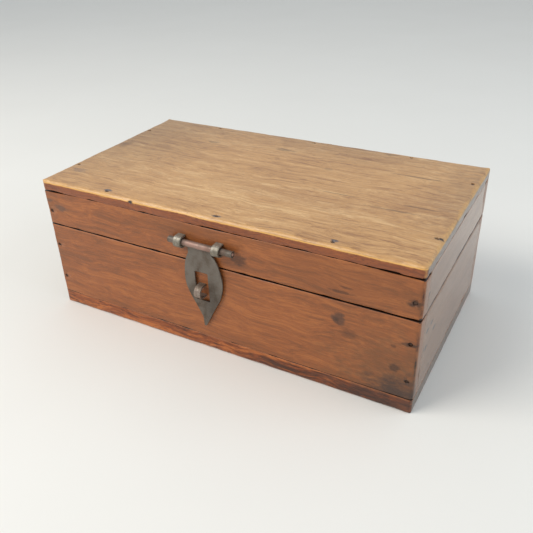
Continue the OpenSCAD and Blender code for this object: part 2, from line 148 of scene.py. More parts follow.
def makeGrainGroup():
    tree, given, result = newGroup("oldWoodGrain", [
        ("Position", "NodeSocketVector"), ("Shift", "NodeSocketVector"), ("Dark", "NodeSocketColor"),
        ("Middle", "NodeSocketColor"), ("Light", "NodeSocketColor"), ("Contrast", "NodeSocketFloat"),
        ("Cut", "NodeSocketFloat")],
        [("Color", "NodeSocketColor"), ("Roughness", "NodeSocketFloat"), ("Height", "NodeSocketFloat")])
    look = grainLook

    def share(value, part):
        return math2(tree, "MULTIPLY", value, part)

    here = vector2(tree, "ADD", given["Position"], given["Shift"])
    bend = place(tree, "ShaderNodeTexNoise")
    feed(tree, bend.inputs["Vector"], vector2(tree, "MULTIPLY", here, look["bend"]["stretch"]))
    feed(tree, bend.inputs["Detail"], look["bend"]["detail"])
    push = vector2(tree, "SUBTRACT", bend.outputs["Color"], (0.5, 0.5, 0.5))
    along = vector2(tree, "ADD", here, vector2(tree, "MULTIPLY", push, look["bend"]["push"]))
    bands = {name: stretched(tree, here if name in look["straight"] else along, *band)
             for name, band in look["bands"].items()}
    tone = share(bands["broad"], look["broadShare"])
    for name, part in look["shares"].items():
        tone = math2(tree, "ADD", tone, share(bands[name], part))
    ring = math2(tree, "SUBTRACT", share(bands["ring"], look["ringShare"]), look["ringLess"])
    tone = math2(tree, "ADD", tone, share(ring, given["Cut"]))
    tone = math2(tree, "ADD", share(math2(tree, "SUBTRACT", tone, 0.5), given["Contrast"]), 0.5)
    low = blendColour(tree, fade(tree, tone, *look["toMiddle"]), given["Dark"], given["Middle"])
    colour = blendColour(tree, fade(tree, tone, *look["toLight"]), low, given["Light"])
    line = fade(tree, bands["line"], *look["line"])
    pores = fade(tree, bands["pores"], *look["pores"])
    colour = blendColour(tree, share(line, look["lineStrength"]), colour, given["Dark"])
    colour = blendColour(tree, share(pores, look["poreStrength"]), colour, given["Dark"])
    feed(tree, result["Color"], colour)
    comb, fibre = bands["comb"], bands["fibre"]
    feed(tree, result["Roughness"], math2(tree, "ADD", look["smooth"], share(comb, look["combRough"])))
    height = math2(tree, "ADD", share(fibre, look["fibreHeight"]), share(comb, look["combHeight"]))
    grooves = share(math2(tree, "ADD", line, pores), look["grooveDepth"])
    feed(tree, result["Height"], math2(tree, "SUBTRACT", height, grooves))
    return tree


arrisLook = {"cloud": (75, 5, 0.7), "ragged": 3.2, "least": 0.0002, "full": 0.9}


def makeArrisGroup():  # 1 on the arrises of a box, falling to 0 at Width from them
    tree, given, result = newGroup("wornArris", [
        ("Position", "NodeSocketVector"), ("Centre", "NodeSocketVector"),
        ("Half", "NodeSocketVector"), ("Width", "NodeSocketFloat"),
        ("Ragged", "NodeSocketFloat")], [("Mask", "NodeSocketFloat")])
    local = vector2(tree, "ABSOLUTE", vector2(tree, "SUBTRACT", given["Position"], given["Centre"]))
    inside = place(tree, "ShaderNodeSeparateXYZ")
    feed(tree, inside.inputs[0], vector2(tree, "SUBTRACT", local, given["Half"]))
    x, y, z = inside.outputs
    top = math2(tree, "MAXIMUM", math2(tree, "MAXIMUM", x, y), z)
    bottom = math2(tree, "MINIMUM", math2(tree, "MINIMUM", x, y), z)
    total = math2(tree, "ADD", math2(tree, "ADD", x, y), z)
    second = math2(tree, "SUBTRACT", math2(tree, "SUBTRACT", total, top), bottom)
    rag = math2(tree, "SUBTRACT", cloud(tree, given["Position"], *arrisLook["cloud"]), 0.5)
    rag = math2(tree, "MULTIPLY", math2(tree, "MULTIPLY", rag, given["Ragged"]), arrisLook["ragged"])
    reach = math2(tree, "MULTIPLY", given["Width"], math2(tree, "ADD", 1, rag))
    reach = math2(tree, "MAXIMUM", reach, arrisLook["least"])
    near = math2(tree, "DIVIDE", math2(tree, "ADD", second, reach), reach)
    feed(tree, result["Mask"], fade(tree, near, 0, arrisLook["full"]))
    return tree


spotLook = {"cloud": ((130, 260, 260), 4, 0.65), "ragged": 3}


def makeSpotGroup():  # a soft stain, 1 at its middle
    tree, given, result = newGroup("stainSpot", [
        ("Position", "NodeSocketVector"), ("Centre", "NodeSocketVector"),
        ("Size", "NodeSocketVector"), ("Soft", "NodeSocketFloat"),
        ("Ragged", "NodeSocketFloat"), ("Strength", "NodeSocketFloat")],
        [("Mask", "NodeSocketFloat")])
    away = vector2(tree, "SUBTRACT", given["Position"], given["Centre"])
    away = vector2(tree, "DIVIDE", away, given["Size"])
    rag = math2(tree, "SUBTRACT", stretched(tree, given["Position"], *spotLook["cloud"]), 0.5)
    rag = math2(tree, "MULTIPLY", rag, math2(tree, "MULTIPLY", given["Ragged"], spotLook["ragged"]))
    distance = math2(tree, "ADD", vector2(tree, "LENGTH", away), rag)
    edge = math2(tree, "SUBTRACT", 1, given["Soft"])
    feed(tree, result["Mask"], math2(tree, "MULTIPLY", fade(tree, distance, 1, edge), given["Strength"]))
    return tree


insideLook = {"half": (0.1542, 0.0792, 0.2), "low": 0.012, "high": 0.1135, "ends": (0.1643, 0.1650)}


def makeInsideGroup():  # Inside is 1 between the walls, Ends is 1 on the box's two short sides
    tree, given, result = newGroup("hiddenFaces", [
        ("Position", "NodeSocketVector"), ("Half", "NodeSocketVector"), ("Low", "NodeSocketFloat"),
        ("High", "NodeSocketFloat")],
        [("Inside", "NodeSocketFloat"), ("Ends", "NodeSocketFloat")])
    split = place(tree, "ShaderNodeSeparateXYZ")
    feed(tree, split.inputs[0], given["Position"])
    hold = place(tree, "ShaderNodeSeparateXYZ")
    feed(tree, hold.inputs[0], given["Half"])
    x, y = math2(tree, "ABSOLUTE", split.outputs[0]), math2(tree, "ABSOLUTE", split.outputs[1])
    z = split.outputs[2]
    masks = [math2(tree, "LESS_THAN", x, hold.outputs[0]), math2(tree, "LESS_THAN", y, hold.outputs[1]),
             math2(tree, "GREATER_THAN", z, given["Low"]), math2(tree, "LESS_THAN", z, given["High"])]
    inside = masks[0]
    for mask in masks[1:]:
        inside = math2(tree, "MULTIPLY", inside, mask)
    feed(tree, result["Inside"], inside)
    feed(tree, result["Ends"], fade(tree, x, *insideLook["ends"]))
    return tree


skinLook = {
    "stretch": (95, 95, 60), "coarse": (1, 4, 0.55, 0.3), "fine": (700, 4, 0.6), "pits": (2400, 2, 0.5),
    "coarseShare": 0.75, "fineShare": 0.25, "level": 0.74, "amountShare": 0.5, "soft": 0.13,
    "rubLess": 0.3, "rubbed": (0.36, 0.50), "pitted": (0.6, 0.7), "pitRust": 0.4,
    "smooth": 0.40, "rustRough": 0.22, "fineHeight": 0.30, "pitDepth": 0.15,
}


def makeIronGroup():
    tree, given, result = newGroup("oldIronSkin", [
        ("Position", "NodeSocketVector"), ("Bare", "NodeSocketColor"),
        ("Rust", "NodeSocketColor"), ("Bright", "NodeSocketColor"),
        ("Amount", "NodeSocketFloat"), ("Rub", "NodeSocketFloat")],
        [("Color", "NodeSocketColor"), ("Roughness", "NodeSocketFloat"), ("Height", "NodeSocketFloat")])
    look = skinLook

    def share(value, part):
        return math2(tree, "MULTIPLY", value, part)

    coarse = cloud(tree, vector2(tree, "MULTIPLY", given["Position"], look["stretch"]), *look["coarse"])
    fine = cloud(tree, given["Position"], *look["fine"])
    mix = math2(tree, "ADD", share(coarse, look["coarseShare"]), share(fine, look["fineShare"]))
    level = math2(tree, "SUBTRACT", look["level"], share(given["Amount"], look["amountShare"]))
    below, above = (math2(tree, way, level, look["soft"]) for way in ("SUBTRACT", "ADD"))
    rusty = fade(tree, mix, below, above)
    colour = blendColour(tree, rusty, given["Bare"], given["Rust"])
    rubbed = fade(tree, math2(tree, "SUBTRACT", fine, share(coarse, look["rubLess"])), *look["rubbed"])
    colour = blendColour(tree, share(rubbed, given["Rub"]), colour, given["Bright"])
    pitted = fade(tree, cloud(tree, given["Position"], *look["pits"]), *look["pitted"])
    feed(tree, result["Color"], blendColour(tree, share(pitted, look["pitRust"]), colour, given["Rust"]))
    feed(tree, result["Roughness"], math2(tree, "ADD", look["smooth"], share(rusty, look["rustRough"])))
    height = math2(tree, "ADD", coarse, share(fine, look["fineHeight"]))
    feed(tree, result["Height"], math2(tree, "SUBTRACT", height, share(pitted, look["pitDepth"])))
    return tree


grainGroup = makeGrainGroup()
arrisGroup = makeArrisGroup()
spotGroup = makeSpotGroup()
insideGroup = makeInsideGroup()
ironGroup = makeIronGroup()
print("shader groups made")


def cleanCopy(name):  # the CAD node's mesh with its loose triangles joined and flat faces whole again
    shape = bmesh.new()
    shape.from_mesh(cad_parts[name].data)
    bmesh.ops.remove_doubles(shape, verts=shape.verts, dist=2e-6)
    bmesh.ops.dissolve_limit(shape, angle_limit=0.004, verts=shape.verts, edges=shape.edges)
    return shape


def sliceGrid(shape, axis, places):
    normal = Vector([1.0 if i == axis else 0.0 for i in range(3)])
    for at in places:
        bmesh.ops.bisect_plane(shape, geom=shape.verts[:] + shape.edges[:] + shape.faces[:], dist=1e-6,
                               plane_co=normal * at, plane_no=normal)


def gridPlaces(shape, axis, step):
    values = [v.co[axis] for v in shape.verts]
    low, high = min(values), max(values)
    count = max(1, round((high - low) / step))
    return [low + (high - low) * (i + 0.37) / count for i in range(count)]  # never at either end


def finishPiece(shape, name, body, node, material, sharp):
    mesh = bpy.data.meshes.new(name)
    bmesh.ops.recalc_face_normals(shape, faces=shape.faces)
    shape.to_mesh(mesh)
    shape.free()
    for face in mesh.polygons:
        face.use_smooth = True
    mesh.set_sharp_from_angle(angle=math.radians(sharp))
    mesh.materials.append(material)
    piece = bpy.data.objects.new(name, mesh)
    bpy.context.scene.collection.objects.link(piece)
    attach(piece, body)
    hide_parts(node)


# The axis that each group's nails lie along, and which way their heads look; 0 is outwards on both sides.
nailRule = {"body_corner_nails": (1, 0), "lid_corner_nails": (1, 0), "lid_top_nails": (2, 1),
            "base_nails": (2, -1)}


def nailPlaces(name):  # the middle of each head's face, and the way it looks out of the wood
    axis, sign = nailRule[name]
    shape = cleanCopy(name)
    left, found = set(shape.verts), []
    while left:
        island, edge = set(), [left.pop()]
        while edge:
            vert = edge.pop()
            island.add(vert)
            for link in vert.link_edges:
                other = link.other_vert(vert)
                if other in left:
                    left.discard(other)
                    edge.append(other)
        low = Vector([min(v.co[i] for v in island) for i in range(3)])
        high = Vector([max(v.co[i] for v in island) for i in range(3)])
        middle = (low + high) / 2
        way = sign or (1 if middle[axis] > 0 else -1)
        middle[axis] = high[axis] if way > 0 else low[axis]
        aim = Vector([way if i == axis else 0.0 for i in range(3)])
        found.append((middle, aim))
    shape.free()
    return sorted(found, key=lambda one: tuple(round(c, 5) for c in one[0]))


nails = {name: nailPlaces(name) for name in nailRule}
print("nail places read")


def spotMask(tree, position, spot, soft, ragged):  # soft and ragged serve where the spot has none of its own
    return useGroup(tree, spotGroup, Position=position, Centre=spot["at"], Size=spot["size"],
                    Soft=spot.get("soft", soft), Ragged=spot.get("ragged", ragged),
                    Strength=spot["strength"])["Mask"]


woodRule = {
    "sideCloud": (60, 5, 0.7), "sideTone": (0.25, 0.75),
    "sawnCloud": ((200, 260, 900), 4, 0.6), "sawnTone": (0.35, 0.65), "sawnStrength": 0.9,
    "rawTone": (0.2, 0.8), "rawRough": 0.3,
    "waves": ((30, 45, 45), 3, 0.5), "waveHeight": 1.6,
    "dents": (160, 2, 0.5), "dentTone": (0.36, 0.25), "dentDepth": -0.6,
    "bumpStrength": 0.55, "bumpDistance": 0.0003, "endCoat": 0.6,
}


def woodMaterial(name, look):
    material = bpy.data.materials.new(name)
    material.use_nodes = True
    tree = material.node_tree
    shader = tree.nodes["Principled BSDF"]
    position = place(tree, "ShaderNodeTexCoord", -1800).outputs["Object"]
    turned = position
    if look.get("turn"):  # grain along Y instead of X
        mapping = place(tree, "ShaderNodeMapping", -1600)
        mapping.inputs["Rotation"].default_value = look["turn"]
        feed(tree, mapping.inputs["Vector"], position)
        turned = mapping.outputs[0]
    hidden = useGroup(tree, insideGroup, Position=position, Half=insideLook["half"], Low=insideLook["low"],
                      High=insideLook["high"])
    ends = math2(tree, "MULTIPLY", hidden["Ends"], look.get("ends", 1.0))
    wood = useGroup(tree, grainGroup, Position=turned, Shift=look["shift"], Dark=look["dark"],
                    Middle=look["middle"], Light=look["light"], Contrast=look.get("contrast", 1.0), Cut=ends)
    colour, rough, height = wood["Color"], wood["Roughness"], wood["Height"]
    for wash in look.get("washes", []):  # broad changes of tone, clear of any edge
        mask = spotMask(tree, position, wash, 0.9, 0.25)
        colour = blendColour(tree, mask, colour, wash["colour"], wash.get("how", "MIX"))
    side = look.get("side")
    if side:  # a board whose edge has kept the darker colour that its face has lost
        split = place(tree, "ShaderNodeSeparateXYZ")
        feed(tree, split.inputs[0], position)
        rag = math2(tree, "SUBTRACT", cloud(tree, position, *woodRule["sideCloud"]), 0.5)
        rag = math2(tree, "MULTIPLY", rag, side["ragged"])
        below = fade(tree, math2(tree, "ADD", split.outputs[2], rag), side["from"], side["to"])
        kept = fade(tree, wood["Height"], *woodRule["sideTone"])
        kept = blendColour(tree, kept, side["dark"], side["colour"])
        colour = blendColour(tree, below, colour, kept)
        band = math2(tree, "MULTIPLY", below, math2(tree, "SUBTRACT", 1, below))
        band = math2(tree, "MULTIPLY", band, side["gold"], clamp=True)
        colour = blendColour(tree, band, colour, side["rim"])
    sawn = fade(tree, stretched(tree, position, *woodRule["sawnCloud"]), *woodRule["sawnTone"])
    sawn = blendColour(tree, sawn, endTone["dark"], endTone["light"])
    colour = blendColour(tree, math2(tree, "MULTIPLY", ends, woodRule["sawnStrength"]), colour, sawn)
    for box in look.get("boxes", []):  # rubbed light or grimed dark along a box's arrises
        mask = useGroup(tree, arrisGroup, Position=position, Centre=box["centre"], Half=box["half"],
                        Width=box["width"], Ragged=box["ragged"])["Mask"]
        mask = math2(tree, "MULTIPLY", mask, box["strength"])
        colour = blendColour(tree, mask, colour, box["colour"])
    for spot in look.get("spots", []):
        mask = spotMask(tree, position, spot, 0.6, 0.5)
        colour = blendColour(tree, mask, colour, spot.get("colour", stainAndShadowDark))
        if spot.get("dent"):
            height = math2(tree, "SUBTRACT", height, math2(tree, "MULTIPLY", mask, spot["dent"]))
    raw = fade(tree, wood["Height"], *woodRule["rawTone"])
    raw = blendColour(tree, raw, rawWood["dark"], rawWood["light"])
    inside = hidden["Inside"]
    colour = blendColour(tree, inside, colour, raw)
    # painted shade along the seams between boards
    for low, high in seamShade["levels"]:
        near, deep = (useGroup(tree, insideGroup, Position=position, Half=half, Low=low, High=high)["Inside"]
                      for half in (seamShade["outer"], seamShade["inner"]))
        seamDarkening = math2(tree, "SUBTRACT", near, deep, clamp=True)
        seamDarkening = math2(tree, "MULTIPLY", seamDarkening, seamShade["strength"])
        colour = blendColour(tree, seamDarkening, colour, seamShade["colour"])
    rough = math2(tree, "ADD", rough, math2(tree, "MULTIPLY", inside, woodRule["rawRough"]))
    waves = math2(tree, "MULTIPLY", stretched(tree, position, *woodRule["waves"]), woodRule["waveHeight"])
    dents = fade(tree, cloud(tree, position, *woodRule["dents"]), *woodRule["dentTone"])
    dents = math2(tree, "MULTIPLY", dents, woodRule["dentDepth"])
    bump = place(tree, "ShaderNodeBump")
    bump.inputs["Strength"].default_value = woodRule["bumpStrength"]
    bump.inputs["Distance"].default_value = woodRule["bumpDistance"]
    feed(tree, bump.inputs["Height"], math2(tree, "ADD", height, math2(tree, "ADD", waves, dents)))
    feed(tree, shader.inputs["Base Color"], colour)
    feed(tree, shader.inputs["Roughness"], math2(tree, "ADD", rough, look.get("dull", 0.0)))
    feed(tree, shader.inputs["Normal"], bump.outputs[0])
    coat = math2(tree, "ADD", math2(tree, "MULTIPLY", ends, woodRule["endCoat"]), look["coat"])
    coat = math2(tree, "MULTIPLY", math2(tree, "SUBTRACT", 1, inside), coat)
    feed(tree, shader.inputs["Coat Weight"], coat)
    shader.inputs["Coat Roughness"].default_value = look.get("coatRoughness", 0.3)
    shader.inputs["Specular IOR Level"].default_value = look.get("specular", 0.5)
    return material


def arrisBox(z0, z1, width, strength, colour, ragged=1.0):  # rubbed arrises of the boards from z0 up to z1
    half = (boxSize["halfWidth"], boxSize["halfDepth"], (z1 - z0) / 2)
    return {"centre": (0, 0, (z0 + z1) / 2), "half": half, "width": width, "strength": strength,
            "colour": colour, "ragged": ragged}


def wallBoxes(width, colour):  # the lid's frame and the box's walls
    return [arrisBox(0.081, 0.1135, width, 0.4, colour), arrisBox(0.012, 0.0806, width, 0.4, colour)]


def mark(at, size, strength, **more):
    return {"at": at, "size": size, "strength": strength, **more}


def shade(at, size, strength, tint, **more):  # a wash that multiplies the colour under it
    return mark(at, size, strength, colour=(*tint, 1), how="MULTIPLY", **more)


def cornerStains(side):  # round the corner nails of the front, side -1, or of the back, side 1
    return [mark(tuple(at), (0.0034, 0.002, 0.0022), 0.5, soft=0.8)
            for name in ("body_corner_nails", "lid_corner_nails")
            for at, aim in nails[name] if at.y * side > 0]


# Painted shade in each joint between boards: the lips of the seams darkened to stand for the gap's shadow, in
# a ring between two half sizes of the box
seamShade = {"levels": ((0.0790, 0.0829), (0.1112, 0.1137), (0.0119, 0.0137)),
              "outer": (0.1645, 0.0895, 0.2), "inner": (0.1622, 0.0872, 0.2),
              "strength": 0.92, "colour": linear(22, 14, 10)}
endTone = {"dark": linear(62, 50, 42), "light": linear(124, 106, 90)}
# the spots' dark colour: real stains, and the painted shadow beside the hasp rod
stainAndShadowDark = linear(46, 31, 24)
greyStain = linear(70, 62, 58)
blueStain = linear(84, 78, 82)
rawWood = {"dark": linear(150, 108, 72), "light": linear(190, 150, 108)}
front = -boxSize["halfDepth"]
right = boxSize["halfWidth"]
top = boxSize["height"]
woodLooks = {
    "topWood": {"shift": (1.31, 0.42, 0.17), "dark": linear(148, 102, 62), "middle": linear(196, 148, 94),
                "light": linear(222, 180, 126), "contrast": 0.9, "coat": 0.3,
                "side": {"from": 0.1206, "to": 0.1192, "ragged": 0.0018, "colour": linear(164, 88, 34),
                         "dark": linear(116, 56, 20), "rim": linear(228, 172, 88), "gold": 4.0},
                "washes": [
                    shade((-0.19, 0.06, top), (0.16, 0.20, 0.1), 0.8, (0.62, 0.66, 0.75)),
                    shade((0.02, 0.11, top), (0.24, 0.08, 0.1), 0.8, (0.68, 0.70, 0.78)),
                    shade((0.18, 0.02, top), (0.07, 0.12, 0.1), 0.7, (0.66, 0.68, 0.78), ragged=0.5),
                    mark((0.13, -0.005, top), (0.05, 0.035, 0.1), 0.30, colour=linear(146, 96, 58),
                         ragged=0.6),
                    mark((0.05, -0.03, top), (0.13, 0.022, 0.1), 0.22, colour=linear(140, 92, 54),
                         ragged=0.7)],
                "boxes": [arrisBox(0.1, top, 0.0032, 0.5, linear(226, 172, 96), 1.4)],
                "spots": [
                    mark((-0.097, -0.083, top), (0.0042, 0.0024, 0.003), 0.9, colour=blueStain),
                    mark((0.007, -0.085, top), (0.0048, 0.0022, 0.003), 0.85, colour=blueStain),
                    mark((0.099, -0.0825, top), (0.0040, 0.0022, 0.003), 0.9, colour=blueStain),
                    mark((0.1615, -0.050, top), (0.0052, 0.0021, 0.003), 1.0, ragged=0.2, dent=2.0),
                    mark((-0.070, -0.0895, 0.1195), (0.0026, 0.003, 0.0016), 1.0, dent=2.0),
                    mark((-0.082, 0.047, top), (0.007, 0.0035, 0.004), 0.35),
                    mark((-0.010, 0.056, top), (0.012, 0.004, 0.004), 0.4),
                    mark((0.045, 0.031, top), (0.006, 0.003, 0.004), 0.3),
                    mark((0.082, 0.084, top), (0.009, 0.003, 0.004), 0.35),
                    mark((-0.150, -0.060, top), (0.009, 0.005, 0.004), 0.35, colour=blueStain),
                    mark((-0.155, 0.010, top), (0.006, 0.014, 0.004), 0.3),
                    mark((0.120, 0.045, top), (0.030, 0.0015, 0.004), 0.5),
                    mark((0.118, -0.022, top), (0.026, 0.0014, 0.004), 0.5),
                    mark((0.136, -0.010, top), (0.020, 0.0013, 0.004), 0.45),
                    mark((0.070, -0.012, top), (0.024, 0.0012, 0.004), 0.4)]},
    "frontWood": {"shift": (0.2, 2.3, 0.9), "dark": linear(69, 31, 14), "middle": linear(127, 64, 27),
                  "light": linear(161, 93, 43), "contrast": 1.55, "coat": 0.16, "specular": 0.4,
                  "washes": [
                      # a real dark stain at the lower right, darkened most in red so that it turns blue-grey:
                      # the blue-grey is a painted sheen
                      shade((0.158, front, 0.020), (0.085, 0.08, 0.070), 1.0, (0.10, 0.34, 0.95), ragged=0.5),
                      shade((0.12, front, 0.098), (0.11, 0.05, 0.035), 0.8, (0.66, 0.66, 0.7), ragged=0.5),
                      shade((-0.165, front, 0.10), (0.035, 0.05, 0.018), 0.8, (0.55, 0.66, 0.8), ragged=0.6),
                      # painted shade on the lid front around and above the hasp bar
                      shade((-0.02, front, 0.107), (0.075, 0.03, 0.012), 0.9, (0.55, 0.55, 0.6), ragged=0.7),
                      shade((0.165, front, 0.095), (0.03, 0.03, 0.014), 0.9, (0.5, 0.55, 0.65), ragged=0.7),
                      shade((0.0, front, 0.013), (0.30, 0.03, 0.008), 0.6, (0.6, 0.55, 0.55), ragged=0.5),
                      shade((-0.166, front, 0.05), (0.02, 0.03, 0.05), 0.7, (0.6, 0.66, 0.75), ragged=0.6)],
                  "boxes": wallBoxes(0.0016, linear(182, 112, 62)),
                  "spots": [
                      # the same real stain, mixed towards grey to paint the sheen on it
                      mark((0.158, front, 0.014), (0.040, 0.01, 0.026), 0.75, soft=0.95, ragged=0.6,
                           colour=linear(46, 40, 40)),
                      mark((0.107, front, 0.0655), (0.0062, 0.004, 0.0075), 0.72, soft=0.5,
                           colour=linear(70, 50, 40)),
                      mark((0.1055, front, 0.0640), (0.0035, 0.004, 0.0035), 0.6, soft=0.9),
                      mark((0.1145, front, 0.0555), (0.010, 0.004, 0.005), 0.4, soft=0.9),
                      mark((0.107, front, 0.088), (0.013, 0.004, 0.0016), 0.6),
                      mark((0.112, front, 0.0925), (0.008, 0.004, 0.0012), 0.5),
                      mark((0.1605, front, 0.0935), (0.009, 0.004, 0.0035), 0.8, soft=0.9, ragged=0.9),
                      mark((0.1590, front, 0.0605), (0.008, 0.004, 0.0022), 0.8, soft=0.9, ragged=0.9),
                      mark((0.1500, front, 0.0375), (0.005, 0.004, 0.005), 0.6),
                      mark((0.148, front, 0.0555), (0.003, 0.004, 0.002), 0.5),
                      mark((-0.148, front, 0.0985), (0.008, 0.004, 0.004), 0.55, colour=greyStain),
                      mark((-0.160, front, 0.104), (0.005, 0.004, 0.003), 0.5, colour=greyStain),
                      # painted shadow of the hasp rod's right end and eye on the lid front
                      mark((0.027, front, 0.092), (0.009, 0.004, 0.007), 0.6)
                  ] + cornerStains(-1)},
    "backWood": {"shift": (1.9, 1.1, 0.35), "dark": linear(84, 44, 24), "middle": linear(134, 74, 40),
                 "light": linear(164, 98, 56), "coat": 0.15, "dull": 0.08,
                 "washes": [mark((-0.10, 0.09, 0.03), (0.10, 0.03, 0.03), 0.45, colour=linear(80, 54, 40),
                                 ragged=0.7)],
                 "boxes": wallBoxes(0.0016, linear(176, 112, 66)),
                 "spots": [mark((side * 0.105, 0.09, 0.081), (0.022, 0.006, 0.007), 0.55) for side in (-1, 1)
                           ] + cornerStains(1)},
    # the end boards' colours: the wood's own tone, greyed and cooled to paint the blue-grey sheen of the ends
    "endWood": {"shift": (0.7, 3.1, 0.4), "turn": (0, 0, math.pi / 2), "dark": linear(56, 42, 36),
                "middle": linear(98, 78, 64), "light": linear(126, 106, 88), "contrast": 1.5,
                "ends": 0.0, "coat": 0.9, "coatRoughness": 0.25,
                "boxes": wallBoxes(0.0014, linear(170, 118, 76)),
                "spots": [mark((right, y, z), (0.004, 0.0055, 0.0020), 1.0, ragged=0.3, dent=3.0)
                          for y, z in ((-0.070, 0.061), (-0.070, 0.046), (-0.060, 0.062), (-0.051, 0.052),
                                       (-0.080, 0.096))]},
    "baseWood": {"shift": (2.7, 0.8, 0.3), "dark": linear(73, 34, 14), "middle": linear(139, 70, 30),
                 "light": linear(183, 104, 48), "contrast": 1.8, "coat": 0.15, "specular": 0.4,
                 "washes": [mark((0.15, front, 0.004), (0.09, 0.05, 0.02), 0.7, colour=linear(66, 46, 38),
                                 ragged=0.7),
                            mark((0.055, front, 0.006), (0.03, 0.02, 0.006), 0.6, colour=linear(60, 38, 28),
                                 ragged=0.8)],
                 "boxes": [arrisBox(0, 0.0125, 0.0014, 0.35, linear(176, 112, 66))]},
}
woods = {name: woodMaterial(name, look) for name, look in woodLooks.items()}
print("wood made")

ageLook = {
    "slow": {"pitch": (11, 17, 21), "shift": (3.1, 7.7, 1.3), "depth": 0.00022},
    "quick": {"pitch": 60, "shift": (0.7, 2.2, 5.1), "depth": 0.00007},
    "worn": {"reach": 0.006, "least": 0.35, "broad": 1.3, "broadPitch": 85, "fine": 0.6, "finePitch": 260},
    "corner": {"reach": 0.006, "push": 0.001},
    "chip": {"cuts": (-0.003, -0.0015, 0, 0.0015, 0.003), "way": (0.2, 1, 1), "least": 0.6, "rough": 0.8,
             "pitch": 700},
    "step": 0.005, "quickStep": 0.012, "sharp": 34,
}


def planeWaves(point):  # the slow unevenness that hand planes and age leave, the same for boards that meet
    slow, quick = ageLook["slow"], ageLook["quick"]
    broad = noise.noise_vector(point * Vector(slow["pitch"]) + Vector(slow["shift"]))
    fine = noise.noise_vector(point * quick["pitch"] + Vector(quick["shift"]))
    return broad * slow["depth"] + fine * quick["depth"]


def wornPull(point, middle, half, depth):  # how far a point near an arris has been worn inwards
    worn = ageLook["worn"]
    gaps = [half[i] - abs(point[i] - middle[i]) for i in range(3)]
    order = sorted(range(3), key=lambda i: gaps[i])
    near = 1 - gaps[order[1]] / worn["reach"]
    if near <= 0:
        return Vector((0, 0, 0))
    uneven = worn["least"] + worn["broad"] * noise.noise(point * worn["broadPitch"])
    uneven += worn["fine"] * noise.noise(point * worn["finePitch"])
    strength = near * near * depth * max(0.0, uneven)
    pull = Vector((0, 0, 0))
    for i in order[:2]:
        pull[i] = -strength if point[i] > middle[i] else strength
    return pull


def squareUp(point, half):  # the top board's corners are a little squarer than one round
    reach = ageLook["corner"]["reach"]
    outX, outY = abs(point.x) - half.x + reach, abs(point.y) - half.y + reach
    if outX <= 0 or outY <= 0:
        return Vector((0, 0, 0))
    angle = math.atan2(outY, outX)
    push = ageLook["corner"]["push"] * (math.hypot(outX, outY) / reach) ** 3 * math.sin(2 * angle) ** 1.5
    pushX, pushY = push * math.cos(angle), push * math.sin(angle)
    return Vector((math.copysign(pushX, point.x), math.copysign(pushY, point.y), 0))


plainWear = {"depth": 0.0003, "square": False, "chips": []}
topWear = {"depth": 0.0005, "square": True, "chips": [  # place, radius and depth of every chip
    ((-0.070, front, 0.120), 0.0040, 0.0010), ((0.121, front, top), 0.008, 0.0005),
    ((0.150, front, top), 0.006, 0.0005), ((-0.100, front, top), 0.005, 0.0004),
    ((right, -0.062, top), 0.007, 0.0005), ((-right, -0.03, top), 0.008, 0.0004),
    ((0.02, -front, top), 0.01, 0.0004)]}
boardLooks = {
    "base_board": ("box", "baseBoard", "baseWood", plainWear),
    "body_front": ("box", "bodyFront", "frontWood", plainWear),
    "body_back": ("box", "bodyBack", "backWood", plainWear),
    "body_left": ("box", "bodyLeft", "endWood", plainWear),
    "body_right": ("box", "bodyRight", "endWood", plainWear),
    "lid_top": ("lid", "lidTop", "topWood", topWear),
    "lid_front": ("lid", "lidFront", "frontWood", plainWear),
    "lid_back": ("lid", "lidBack", "backWood", plainWear),
    "lid_left": ("lid", "lidLeft", "endWood", plainWear),
    "lid_right": ("lid", "lidRight", "endWood", plainWear),
}


def agedBoard(node, body, name, wood, wear):
    low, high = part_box(node)
    low, high = Vector(low), Vector(high)
    middle, half = (low + high) / 2, (high - low) / 2
    shape = cleanCopy(node)
    chipLook, step = ageLook["chip"], ageLook["step"]
    for axis in range(3):
        places = gridPlaces(shape, axis, step)
        if axis < 2:
            places += [at[axis] + off for at, radius, deep in wear["chips"] for off in chipLook["cuts"]]
        sliceGrid(shape, axis, places)
    for vert in shape.verts:
        point = vert.co.copy()
        move = planeWaves(point) + wornPull(point, middle, half, wear["depth"])
        if wear["square"]:
            move += squareUp(point, half)
        for at, radius, deep in wear["chips"]:
            away = (point - Vector(at)).length / radius
            if away < 1:
                ragged = chipLook["least"] + chipLook["rough"] * noise.noise(point * chipLook["pitch"])
                move += (middle - point).normalized() * Vector(chipLook["way"]) * deep * (1 - away) * ragged
        vert.co = point + move
    finishPiece(shape, name, body, node, woods[wood], ageLook["sharp"])


for node, (body, name, wood, wear) in boardLooks.items():
    agedBoard(node, body, name, wood, wear)
print("boards aged")


ironRule = {"bumpStrength": 0.45, "bumpDistance": 0.00025}


def ironMaterial(name, look):
    material = bpy.data.materials.new(name)
    material.use_nodes = True
    tree = material.node_tree
    shader = tree.nodes["Principled BSDF"]
    position = place(tree, "ShaderNodeTexCoord", -900).outputs["Object"]
    skin = useGroup(tree, ironGroup, Position=position, Bare=look["bare"], Rust=look["rust"],
                    Bright=look["bright"], Amount=look["amount"], Rub=look.get("rub", 0.2))
    colour = skin["Color"]
    for wash in look.get("washes", []):
        mask = spotMask(tree, position, wash, 0.9, 0.3)
        colour = blendColour(tree, mask, colour, wash["colour"])
    bump = place(tree, "ShaderNodeBump")
    bump.inputs["Strength"].default_value = ironRule["bumpStrength"]
    bump.inputs["Distance"].default_value = ironRule["bumpDistance"]
    feed(tree, bump.inputs["Height"], skin["Height"])
    feed(tree, shader.inputs["Base Color"], colour)
    feed(tree, shader.inputs["Roughness"], math2(tree, "ADD", skin["Roughness"], look.get("dull", 0.0)))
    feed(tree, shader.inputs["Normal"], bump.outputs[0])
    shader.inputs["Metallic"].default_value = look.get("metallic", 0.6)
    return material


